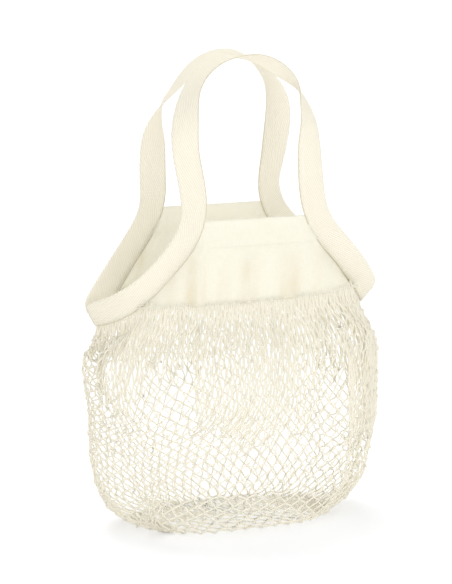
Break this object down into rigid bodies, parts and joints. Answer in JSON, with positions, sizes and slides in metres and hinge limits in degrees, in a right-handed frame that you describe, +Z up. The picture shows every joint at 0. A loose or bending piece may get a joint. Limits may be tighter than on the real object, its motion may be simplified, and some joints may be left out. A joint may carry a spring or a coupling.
{
  "type": "mesh market bag",
  "caption": "Empty cotton mesh market bag standing open, with a plain cloth band at the mouth and twisted tape handles bound along the band's slanted edges.",
  "frame": {"origin": "on the floor, in the middle of the bag's width and depth", "axes": "+X along the width to the bag's right as the picture shows it, -Y towards the front, +Z up"},
  "size_m": [0.317, 0.1806, 0.4683],
  "materials": {
    "cotton_net": "matte undyed twisted cotton yarn",
    "cotton_cloth": "matte undyed plain-weave cotton",
    "cotton_tape": "matte undyed twill cotton tape"
  },
  "bodies": {
    "root": {"net_body": "cotton_net", "front_panel": "cotton_cloth", "rear_panel": "cotton_cloth", "front_handle": "cotton_tape", "rear_handle": "cotton_tape"}
  },
  "joints": []
}
